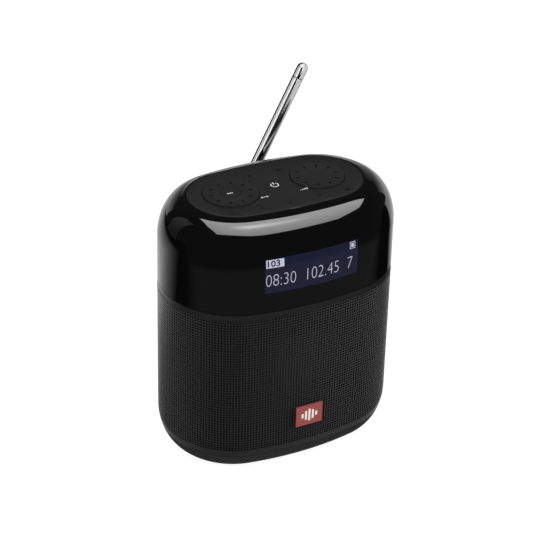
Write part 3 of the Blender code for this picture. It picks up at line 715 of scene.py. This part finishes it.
def make_deck():
    rim_top = DECK_Z[1]
    roll = 0.14 * MM
    rings = [ring_at(deck_outline(0.0), DECK_Z[0]), ring_at(deck_outline(0.0), rim_top - roll)]
    rings += [ring_at(deck_outline(-roll * (1 - math.cos(a))), rim_top - roll * (1 - math.sin(a)))
              for a in (QUARTER * i / 4 for i in range(1, 5))]
    dish = 3.4 * MM
    for i in range(1, 9):
        share = i / 8
        fall = (rim_top - DECK_FLOOR) * (0.5 - 0.5 * math.cos(math.pi * share))
        rings.append(ring_at(deck_outline(-roll - dish * share), rim_top - fall))
    knives = []
    low, high = DECK_Z[0] - MM, HEIGHT + MM
    for dial in ("tune_dial", "volume_dial"):
        knives.append(cylinder(radius_of(dial) + 0.35 * MM, low, high, centre_of(dial), 128))
    for key in (*KEYS, "power_button"):
        knives.append(cylinder(radius_of(key) + HAIRLINE, low, high, centre_of(key), 48))
    deck = boolean(loft(rings), joined(*knives))
    piece("deck_sheet", deck, MATERIALS["deck"], "radio_body", "deck", "control_deck")


def dial_marks(radius, top):
    """Ten slender dimples set radially round a dial's face, as cutting tools."""
    tools = []
    for number in range(10):
        angle = math.radians(30 + 36 * number)
        bm = bmesh.new()
        bmesh.ops.create_uvsphere(bm, u_segments=24, v_segments=12, radius=1.0)
        size = Matrix.Diagonal((1.75 * MM, 0.72 * MM, 0.7 * MM, 1))
        turn = Matrix.Rotation(angle, 4, "Z")
        bm.transform(turn @ Matrix.Translation((0.74 * radius, 0, top + 0.2 * MM)) @ size)
        tools.append(bm)
    return joined(*tools)


def darken_dimples(made, centre, radius, top):
    """Paint shade into the dimples: their own faces get a darker material."""
    made.data.materials.append(MATERIALS["dimple"])
    for face in made.data.polygons:
        spot = face.center
        away = math.hypot(spot.x - centre[0], spot.y - centre[1])
        if spot.z < top - 0.02 * MM and 0.6 * radius < away < 0.88 * radius and spot.z > top - 0.8 * MM:
            face.material_index = 1


def make_dials():
    for dial, rim in (("tune_dial", radius_of("scan_button") + 0.2 * MM), ("volume_dial", 0.0)):
        low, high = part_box(dial)[0].z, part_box(dial)[1].z
        radius = radius_of(dial)
        roll = 0.45 * MM
        edge = rounded((radius - roll, high - roll), roll, QUARTER, 0.0)
        if rim:
            lip = 0.2 * MM
            start = rounded((rim + lip, high - lip), lip, 2 * QUARTER, QUARTER, 3)
            profile = [*start, *edge, (radius, low), (rim, low)]
        else:
            profile = [(0, high), *edge, (radius, low), (0, low)]
        face = boolean(turned(profile, 128), dial_marks(radius, high))
        moved(face, *centre_of(dial))
        made = piece(dial + "_face", face, MATERIALS["deck"], dial, "deck", dial)
        darken_dimples(made, centre_of(dial), radius, high)


def button_profile(radius, top, low, roll=0.18 * MM, dish=0.0):
    edge = rounded((radius - roll, top - roll), roll, QUARTER, 0.0, 3)
    return [(0, top - dish), (radius * 0.6, top - 0.7 * dish), *edge, (radius, low), (0, low)]


def make_buttons():
    for key in (*KEYS, "power_button", "scan_button"):
        low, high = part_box(key)
        radius = radius_of(key) + (0.04 * MM if key != "scan_button" else 0.0)
        dish = 0.25 * MM if key == "scan_button" else 0.0
        top = high.z - KEY_SINK * (key != "scan_button")
        bm = turned(button_profile(radius, top, low.z, dish=dish), 64)
        piece(key + "_cap", moved(bm, *centre_of(key)), MATERIALS["deck"], key, "deck", key)


def arc_strip(radius, width, start, end, steps=28):
    """Outline of a bent bar along an arc."""
    outer = rounded((0, 0), radius + width / 2, start, end, steps)
    return outer + rounded((0, 0), radius - width / 2, end, start, steps)


def bar(x, y, length, width):
    return rectangle(x - length / 2, y - width / 2, length, width)


def triangle(x, y, size, point):
    """A small arrow head that points to +X or -X."""
    reach = point * size * 0.45
    return [(x - reach, y - size / 2), (x + reach, y), (x - reach, y + size / 2)]


def make_marks():
    """Printed symbols: white ones on the deck and its two white-marked buttons, with a faint painted glow, dark
    ones on the keys.
    """
    line = 0.7 * MM

    def add(name, outlines, at, top, body, material):
        bm = prism(outlines, top - PRINT, top + PRINT)
        piece(name, moved(bm, *at), material, body, "deck")

    power = [arc_strip(2.45 * MM, 0.6 * MM, math.radians(125), math.radians(415)),
             rectangle(-0.3 * MM, 0.6 * MM, 0.6 * MM, 2.8 * MM)]
    key_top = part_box("power_button")[1].z - KEY_SINK
    add("power_mark", power, centre_of("power_button"), key_top, "power_button", PAINTED_GLOW_WHITE)
    arrows = [triangle(-2.1 * MM, 0, 1.6 * MM, -1), bar(0, 0, 2.0 * MM, 0.45 * MM),
              triangle(2.1 * MM, 0, 1.6 * MM, 1)]
    add("tune_mark", arrows, (-12.8 * MM, -7.2 * MM), DECK_FLOOR, "radio_body", PAINTED_GLOW_WHITE)
    steps = [rectangle((i * 1.15 - 2.3) * MM, -0.8 * MM, 0.7 * MM, (0.5 + 0.32 * i) * MM) for i in range(5)]
    add("volume_mark", steps, (14.4 * MM, -7.4 * MM), DECK_FLOOR, "radio_body", PAINTED_GLOW_WHITE)
    seek = [triangle(-1.5 * MM, 0, 1.5 * MM, 1), triangle(0, 0, 1.5 * MM, 1),
            rectangle(0.9 * MM, -0.75 * MM, 0.4 * MM, 1.5 * MM)]
    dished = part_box("scan_button")[1].z - 0.24 * MM
    add("seek_mark", seek, centre_of("scan_button"), dished, "scan_button", PAINTED_GLOW_WHITE)

    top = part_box("front_key_1")[1].z - KEY_SINK
    for number in (1, 2, 3):
        key = f"front_key_{number}"
        bm = text_prism(str(number), 5.2 * MM, 1.0, 0.0, top - PRINT, top + PRINT)
        x, y = centre_of(key)
        width = max(v.co.x for v in bm.verts)
        tall = max(v.co.y for v in bm.verts)
        piece(key + "_mark", moved(bm, x - width / 2, y - tall / 2), MARK_DARK, key, "deck")
    plus = [bar(0, 0, 3.6 * MM, line), rectangle(-line / 2, line / 2, line, 1.5 * MM),
            rectangle(-line / 2, -line / 2 - 1.5 * MM, line, 1.5 * MM)]
    add("front_key_4_mark", plus, centre_of("front_key_4"), top, "front_key_4", MARK_DARK)
    menu = [bar(0, y * MM, 3.6 * MM, line) for y in (-1.2, 0.0, 1.2)]
    add("front_key_5_mark", menu, centre_of("front_key_5"), top, "front_key_5", MARK_DARK)
    wave = [arc_strip(r * MM, line, math.radians(-50), math.radians(50), 10) for r in (1.2, 2.4)]
    add("rear_key_1_mark", wave, centre_of("rear_key_1"), top, "rear_key_1", MARK_DARK)
    disc = [arc((0, 0), 1.9 * MM, 0, 2 * math.pi, 32)]
    add("rear_key_2_mark", disc, centre_of("rear_key_2"), top, "rear_key_2", MARK_DARK)


# ---------------------------------------------------------------- rear connectors

def make_port():
    """A slim bezel over the grille's cut edge, and the rubber flap with a pull tab."""
    half = (PORT[1].x - PORT[0].x) / 2
    margin = 1.6 * MM
    frame_patch = wall_patch(half + margin, (PORT[0].z - margin, PORT[1].z + margin), 0.6 * MM, 0.2 * MM,
                             40, 20, side=1, edge=0.3 * MM)
    flap_half = (FLAP[1].x - FLAP[0].x) / 2
    low, high = FLAP[0].z, FLAP[1].z
    gap = 0.3 * MM
    reach = flap_half + gap
    hole = rounded_box((-reach, 40 * MM, low - gap), (reach, 60 * MM, high + gap), 0.2 * MM, 2)
    piece("port_bezel", boolean(frame_patch, hole), MATERIALS["plastic"], "radio_body", "plastic")
    flap = wall_patch(flap_half, (low, high), 0.0, 1.5 * MM, 36, 16, side=1, edge=0.3 * MM)
    tab_heights = (high - 2.6 * MM, high - 1.2 * MM)
    tab = wall_patch(6 * MM, tab_heights, 0.45 * MM, 0.5 * MM, 8, 3, side=1, edge=0.3 * MM)
    piece("flap_cover", joined(flap, tab), MATERIALS["rubber"], "port_flap", "rubber", "port_flap")


# ---------------------------------------------------------------- antenna

def rod_piece(name, bm, body, *nodes, sharp=35):
    bm.transform(ROD_FRAME)
    return piece(name, bm, MATERIALS["chrome"], body, "chrome", *nodes, sharp=sharp)


def rod_span(node):
    """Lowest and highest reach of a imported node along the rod's own axis."""
    back = ROD_FRAME.inverted()
    heights = [(back @ v.co).z for v in frame["nodes"][node].data.vertices]
    return min(heights), max(heights)


def make_antenna():
    radius, step, wall = 3.75 * MM, 0.7 * MM, 0.4 * MM
    bodies = ["antenna_arm", "antenna_stage_2", "antenna_stage_3", "antenna_stage_4"]
    for number, body in enumerate(bodies):
        node = f"antenna_tube_{number + 1}"
        low, high = rod_span(node)
        outer = radius - number * step
        inner = outer - wall
        roll = 0.25 * MM
        start = [(0, low), *rounded((outer - roll, low + roll), roll, -QUARTER, 0.0, 4)]
        waist = outer - 0.12 * MM
        mouth = [(outer, high - 1.6 * MM), (waist, high - 1.45 * MM), (waist, high - 1.15 * MM),
                 (outer, high - 1.0 * MM), *rounded((outer - roll, high - roll), roll, 0.0, QUARTER, 4)]
        floor = low + (3 * MM if number == 0 else 1 * MM)
        bm = turned([*start, *mouth, (inner, high - 0.2 * MM), (inner, floor), (0, floor)], 48)
        rod_piece(f"antenna_section_{number + 1}", bm, body, node)
    low, high = rod_span("antenna_core")
    core = radius - 4 * step
    rod_piece("antenna_wire", turned([(0, low), (core, low), (core, high), (0, high)], 32), "antenna_stage_5",
              "antenna_core")
    low, high = rod_span("antenna_tip")
    roll = 0.3 * MM
    dome = [(radius * math.sin(a), high - radius * (1 - math.cos(a)))
            for a in (QUARTER * i / 14 for i in range(1, 15))]
    foot = rounded((radius - roll, low + roll), roll, 0.0, -QUARTER, 4)
    tip = [(0, high), *dome, *foot, (0, low)]
    rod_piece("antenna_knob", turned(tip, 48), "antenna_stage_5", "antenna_tip")


# ---------------------------------------------------------------- studio

CAMERA_AZIMUTH = math.radians(-26.98)
CAMERA_ELEVATION = math.radians(31.48)
CAMERA_ROLL = math.radians(-1.63)
CAMERA_DISTANCE = 6.147 * WIDTH
CAMERA_SLIDE = (-0.0022 * WIDTH, -0.1366 * WIDTH)
CAMERA_LENS = 95.4


def make_camera():
    back = Vector((math.sin(CAMERA_AZIMUTH) * math.cos(CAMERA_ELEVATION),
                   -math.cos(CAMERA_AZIMUTH) * math.cos(CAMERA_ELEVATION), math.sin(CAMERA_ELEVATION)))
    level = Vector((0, 0, 1)).cross(back).normalized()
    upright = back.cross(level)
    right = level * math.cos(CAMERA_ROLL) - upright * math.sin(CAMERA_ROLL)
    up = level * math.sin(CAMERA_ROLL) + upright * math.cos(CAMERA_ROLL)
    data = bpy.data.cameras.new("camera")
    data.lens = CAMERA_LENS
    data.sensor_width = 36
    data.clip_end = 30
    camera = bpy.data.objects.new("camera", data)
    place = Vector((0, 0, HEIGHT / 2)) - right * CAMERA_SLIDE[0] - up * CAMERA_SLIDE[1]
    place += back * CAMERA_DISTANCE
    camera.matrix_world = Matrix.Translation(place) @ Matrix((right, up, back)).transposed().to_4x4()
    bpy.context.scene.collection.objects.link(camera)
    bpy.context.scene.camera = camera


def area_light(name, place, aim, size, radiance):
    data = bpy.data.lights.new(name, "AREA")
    data.shape = "RECTANGLE"
    data.size, data.size_y = size
    data.energy = math.pi * size[0] * size[1] * radiance
    lamp = bpy.data.objects.new(name, data)
    away = Vector(place) - Vector(aim)
    lamp.matrix_world = Matrix.Translation(place) @ away.to_track_quat("Z", "Y").to_matrix().to_4x4()
    bpy.context.scene.collection.objects.link(lamp)
    return lamp


def flat_card(name, corners, pieces, strength):
    """A flat emitter that only the glossy side of some pieces sees; the others see it as black.

    The strength is a function that builds it from the node tree and the place in space."""
    mesh = bpy.data.meshes.new(name)
    mesh.from_pydata(corners, [], [tuple(range(len(corners)))])
    card = bpy.data.objects.new(name, mesh)
    glow = bpy.data.materials.new(name)
    glow.use_nodes = True
    nodes, links = glow.node_tree.nodes, glow.node_tree.links
    nodes.clear()
    emission = nodes.new("ShaderNodeEmission")
    place = nodes.new("ShaderNodeTexCoord").outputs["Object"]
    links.new(strength(nodes, links, place), emission.inputs["Strength"])
    output = nodes.new("ShaderNodeOutputMaterial")
    links.new(emission.outputs["Emission"], output.inputs["Surface"])
    mesh.materials.append(glow)
    bpy.context.scene.collection.objects.link(card)
    card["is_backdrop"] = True
    card.visible_camera = False
    card.visible_diffuse = False
    card.visible_shadow = False
    card.visible_transmission = False
    card.light_linking.receiver_collection = pieces


def make_floor():
    mesh = bpy.data.meshes.new("floor")
    half = 6.0
    corners = [(-half, -half, 0), (half, -half, 0), (half, half, 0), (-half, half, 0)]
    mesh.from_pydata(corners, [], [(0, 1, 2, 3)])
    floor = bpy.data.objects.new("floor", mesh)
    pale = surface("floor_pale", (0.25, 0.25, 0.25), 0.9, 40, spread=0.01, haze=0.02)
    shader = pale.node_tree.nodes["Principled BSDF"]
    shader.inputs["Emission Color"].default_value = (1, 1, 1, 1)
    shader.inputs["Emission Strength"].default_value = 0.9
    mesh.materials.append(pale)
    bpy.context.scene.collection.objects.link(floor)
    floor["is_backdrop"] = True


def make_world():
    """White to the camera, pale to matte surfaces, dark to glossy ones, which see the cards instead."""
    world = bpy.data.worlds.new("studio")
    bpy.context.scene.world = world
    world.use_nodes = True
    nodes, links = world.node_tree.nodes, world.node_tree.links
    backdrop = nodes["Background"]
    backdrop.inputs["Color"].default_value = (1, 1, 1, 1)
    backdrop.inputs["Strength"].default_value = 0.75
    dark = nodes.new("ShaderNodeBackground")
    dark.inputs["Color"].default_value = (0.04, 0.04, 0.04, 1)
    white = nodes.new("ShaderNodeBackground")
    white.inputs["Color"].default_value = (1, 1, 1, 1)
    ray = nodes.new("ShaderNodeLightPath")
    seen = backdrop
    for kind, other in (("Is Glossy Ray", dark), ("Is Camera Ray", white)):
        pick = nodes.new("ShaderNodeMixShader")
        links.new(ray.outputs[kind], pick.inputs["Fac"])
        links.new(seen.outputs[0], pick.inputs[1])
        links.new(other.outputs[0], pick.inputs[2])
        seen = pick
    links.new(seen.outputs["Shader"], nodes["World Output"].inputs["Surface"])


def measured(nodes, links, operation, place, vector):
    made = nodes.new("ShaderNodeVectorMath")
    made.operation = operation
    made.inputs[1].default_value = vector
    links.new(place, made.inputs[0])
    return made.outputs["Value"]


def combined(nodes, links, operation, first, second):
    made = nodes.new("ShaderNodeMath")
    made.operation = operation
    links.new(first, made.inputs[0])
    links.new(second, made.inputs[1])
    return made.outputs["Value"]


FORWARD = Vector((-math.sin(CAMERA_AZIMUTH), math.cos(CAMERA_AZIMUTH), 0))
RIGHTWARD = Vector((math.cos(CAMERA_AZIMUTH), math.sin(CAMERA_AZIMUTH), 0))
UPWARD = Vector((0, 0, 1))
BOX_Z = HEIGHT + 1.2


def seen_from_camera(points, height):
    """Points given rightward and forward of the object as the camera sees it, at a height."""
    return [RIGHTWARD * right + FORWARD * ahead + UPWARD * height for right, ahead in points]


def standing(foot, height):
    """Corners of a card that stands on the floor along the line between two points."""
    return seen_from_camera(foot, 0.0) + seen_from_camera(foot[::-1], height)


def floor_glow(nodes, links, place):
    """What shiny faces see on the floor: a bright wedge behind the object, a dim patch in front."""
    def along(direction):
        return measured(nodes, links, "DOT_PRODUCT", place, direction)

    slant = along(FORWARD - RIGHTWARD * 0.33)
    behind = ranged(nodes, links, slant, 0.0, 0.95, 0.05, 0.21)
    left = ranged(nodes, links, along(RIGHTWARD + FORWARD * 0.6), 0.0, 1.0, -0.75, -0.2)
    right = ranged(nodes, links, along(FORWARD - RIGHTWARD * 0.7), 0.0, 1.0, 0.0, 0.05)
    wedge = combined(nodes, links, "MULTIPLY", combined(nodes, links, "MULTIPLY", behind, left), right)
    front = ranged(nodes, links, slant, 0.12, 0.0, -0.12, -0.04)
    near = ranged(nodes, links, measured(nodes, links, "DISTANCE", place, (0, 0, 0)), 1.0, 0.3, 0.36, 0.46)
    return combined(nodes, links, "ADD", wedge, combined(nodes, links, "MULTIPLY", front, near))


def box_glow(nodes, links, place):
    """The overhead softbox: a hot centre that falls off to its edges."""
    hot = RIGHTWARD * 0.22 + FORWARD * 0.07 + UPWARD * BOX_Z
    far = measured(nodes, links, "DISTANCE", place, hot)
    core = ranged(nodes, links, far, 6.5, 0.0, 0.0, 0.35)
    return combined(nodes, links, "ADD", core, ranged(nodes, links, far, 7.0, 4.2, 0.2, 1.4))


def side_glow(nodes, links, place):
    """The card at the left: brighter towards its top."""
    height = measured(nodes, links, "DOT_PRODUCT", place, UPWARD)
    return ranged(nodes, links, height, 0.1, 0.45, 0.2, 1.4)


def back_glow(nodes, links, place):
    """The wall behind the object: brightest near the floor."""
    height = measured(nodes, links, "DOT_PRODUCT", place, UPWARD)
    return ranged(nodes, links, height, 1.15, 0.12, 0.0, 1.45)


def gathered(name, belongs):
    """A collection of the pieces whose names belong, for light linking."""
    group = bpy.data.collections.new(name)
    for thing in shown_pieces():
        if belongs(thing.name):
            group.objects.link(thing)
    return group


def tent_light(name, place, aim, size, radiance, lit):
    """A light that only the lit pieces mirror."""
    lamp = area_light(name, place, aim, size, radiance)
    lamp.visible_diffuse = False
    lamp.visible_shadow = False
    lamp.light_linking.receiver_collection = lit


def make_lights():
    chrome = gathered("chrome_pieces", lambda name: name.startswith("antenna"))
    plain = gathered("plain_pieces", lambda name: not name.startswith("antenna"))
    gloss = gathered("gloss_pieces", lambda name: name.startswith(("cap_", "display_")))
    box = [(-0.57, -0.82), (0.80, -0.95), (1.45, -0.45), (1.15, 0.15), (0.80, 0.90), (0.25, 1.10),
           (-0.45, 0.85), (-0.60, -0.10)]
    flat_card("overhead_box", seen_from_camera(box, BOX_Z), gloss, box_glow)
    ground = [(-9, -9), (9, -9), (9, 9), (-9, 9)]
    flat_card("floor_card", seen_from_camera(ground, 0.4 * MM), plain, floor_glow)
    flat_card("back_card", standing([(-2.98, 2.5), (2.33, 2.5)], 1.45), plain, back_glow)
    flat_card("side_card", standing([(-1.85, 0.80), (-1.80, 0.0)], 2.05), gloss, side_glow)
    for name, place, size, radiance in (
        ("key_light", (-0.9, -1.6, 1.9), (1.4, 1.4), 2.0),
        ("fill_light", (1.8, -0.8, 1.4), (1.4, 1.4), 1.4),
        ("back_light", (0.2, 1.9, 1.8), (1.8, 1.2), 1.6),
    ):
        area_light(name, place, (0, 0, 0.1), size, radiance).visible_glossy = False
    mesh_only = gathered("grille_pieces", lambda name: name.startswith("grille"))
    for name, right, radiance in (("left_rim", -1.7, 20.0), ("right_rim", 1.7, 22.0)):
        place = seen_from_camera([(right, 0.4)], 0.5)[0]
        lamp = area_light(name, place, (0, 0, 0.06), (1.0, 1.0), radiance)
        lamp.light_linking.receiver_collection = mesh_only
    matte = gathered("matte_pieces", lambda name: name.startswith(("grille", "plinth", "band")))
    spot = seen_from_camera([(0, 1.3)], 2 * MM)[0]
    tent_light("floor_behind", spot, spot + UPWARD, (2.0, 2.0), 1.0, matte)

    ring = 1.6
    tents = ((-77, 1.06, 1.0), (-119, 0.95, 0.6), (-2, 1.06, 0.9),
             (40, 1.3, 0.55), (84, 1.3, 0.7), (124, 1.1, 0.7))
    for number, (azimuth, width, radiance) in enumerate(tents):
        angle = math.radians(azimuth)
        place = (ring * math.sin(angle), -ring * math.cos(angle), 0.6)
        tent_light(f"tent_{number + 1}", place, (0, 0, 0.6), (width, 1.2), radiance, chrome)
    tent_light("tent_top", (0, -0.3, 1.25), (0, -0.3, 0), (2.2, 2.0), 0.95, chrome)
    tent_light("tent_floor_front", (1.55, -1.5, 0.002), (1.55, -1.5, 1), (3.2, 3.0), 0.6, chrome)
    tent_light("tent_floor_right", (0.93, 0.8, 0.002), (0.93, 0.8, 1), (1.5, 1.6), 0.65, chrome)


# ---------------------------------------------------------------- assembly

finish_inner_nodes()
make_cap()
make_band()
make_base()
make_grille()
make_display()
make_badge()
make_deck()
make_dials()
make_buttons()
make_marks()
make_port()
make_antenna()
make_camera()
make_floor()
make_world()
make_lights()
bpy.context.scene.view_settings.view_transform = "Standard"
